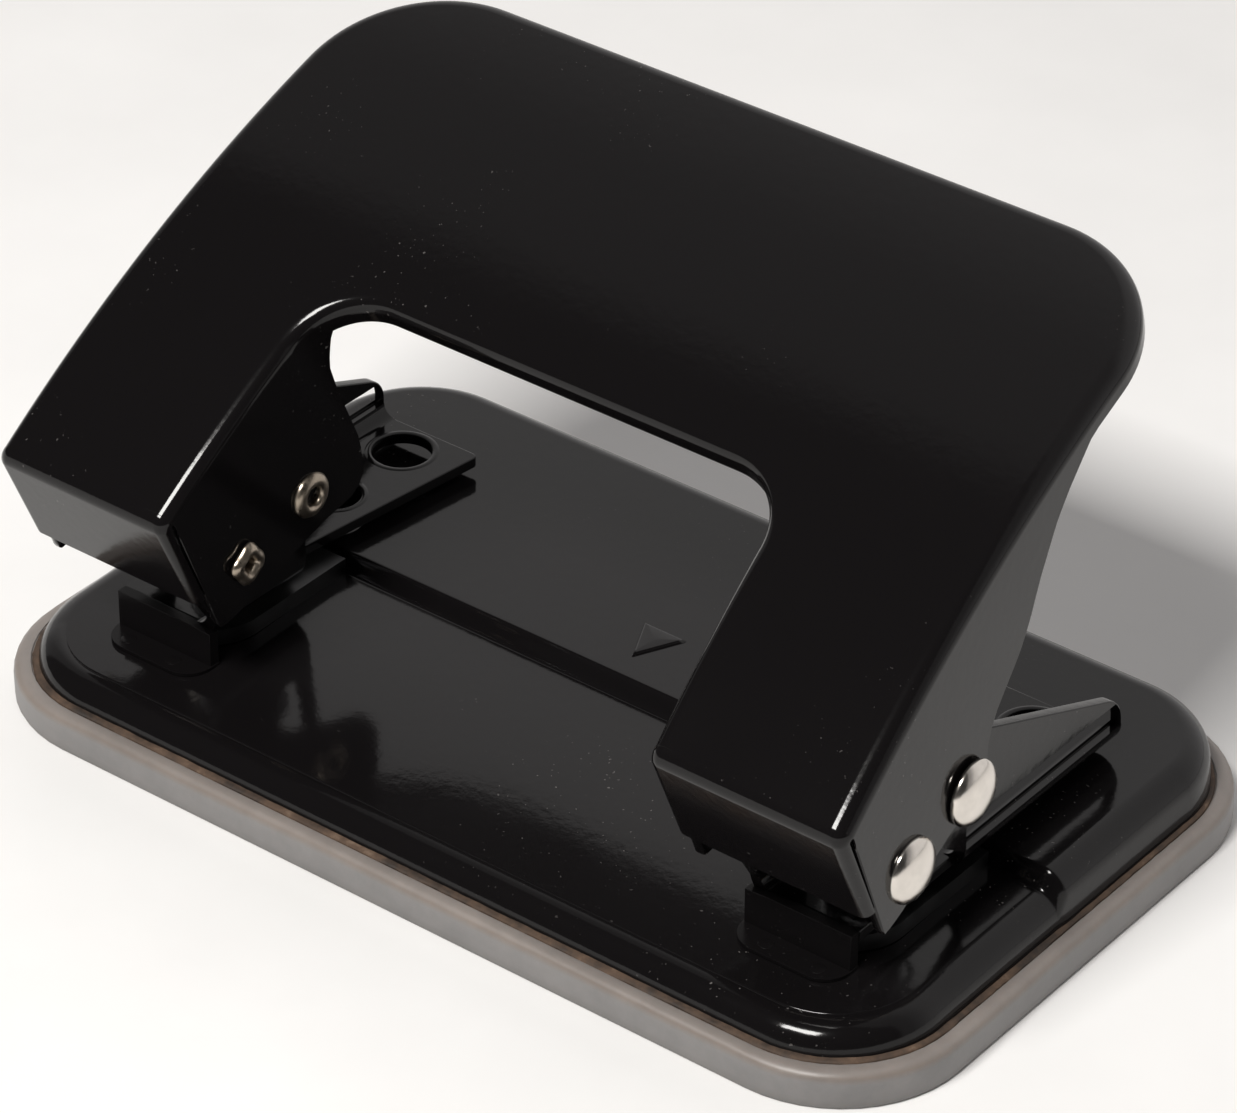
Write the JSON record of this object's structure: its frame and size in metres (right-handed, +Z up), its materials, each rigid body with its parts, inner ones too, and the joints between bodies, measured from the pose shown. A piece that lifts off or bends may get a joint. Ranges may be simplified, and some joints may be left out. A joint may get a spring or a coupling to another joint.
{
  "type": "hole punch",
  "caption": "Two-hole desk punch with a bent sheet steel handle open between its legs, two spring-returned punch rods on a stepped base, and a clip-on chip tray.",
  "frame": {"origin": "middle of the underside of the chip tray, halfway between the two punched holes in X", "axes": "+X along the line of the two holes, +Y from the hinge side towards the side where paper goes in, +Z up"},
  "size_m": [0.114, 0.0704, 0.0617],
  "materials": {
    "tray_plastic": "milky translucent, satin",
    "black_enamel": "gloss black enamel",
    "dark_steel": "painted over in black",
    "die_steel": "ground",
    "bush_brass": "turned",
    "nickel": "nickel plated",
    "punch_steel": "ground and oiled",
    "clip_steel": "zinc plated",
    "spring_steel": "bright drawn wire"
  },
  "bodies": {
    "tray": {"chip_tray": "tray_plastic"},
    "base": {"base_plate": "black_enamel", "bracket_rivets": "dark_steel", "left_bracket": "black_enamel", "right_bracket": "black_enamel", "left_die": "die_steel", "right_die": "die_steel", "left_guide_bush": "bush_brass", "right_guide_bush": "bush_brass", "left_return_spring": "spring_steel", "right_return_spring": "spring_steel"},
    "grip": {"handle": "black_enamel", "left_pivot_rivet": "nickel", "right_pivot_rivet": "nickel", "left_drive_rivet": "nickel", "right_drive_rivet": "nickel"},
    "left_rod": {"left_punch_rod": "punch_steel", "left_spring_clip": "clip_steel"},
    "right_rod": {"right_punch_rod": "punch_steel", "right_spring_clip": "clip_steel"}
  },
  "joints": [
    {"name": "tray_release", "type": "slide", "parent": "tray", "child": "base", "axis": [0, 0, 1], "range_m": [0, 0.012]},
    {"name": "handle_press", "type": "hinge", "parent": "base", "child": "grip", "pos_m": [0, -0.0218, 0.0213], "axis": [-1, 0, 0], "range_deg": [0, 35], "stiffness_Nm_per_rad": 0.25, "springref_deg": -40.11},
    {"name": "left_rod_stroke", "type": "slide", "parent": "base", "child": "left_rod", "axis": [0, 0, -1], "range_m": [0, 0.006], "deforming": ["left_return_spring"]},
    {"name": "right_rod_stroke", "type": "slide", "parent": "base", "child": "right_rod", "axis": [0, 0, -1], "range_m": [0, 0.006], "deforming": ["right_return_spring"]}
  ],
  "couplings": [
    {"joint": "left_rod_stroke", "follows": "handle_press", "m_per_rad": 0.00981},
    {"joint": "right_rod_stroke", "follows": "handle_press", "m_per_rad": 0.00981}
  ]
}
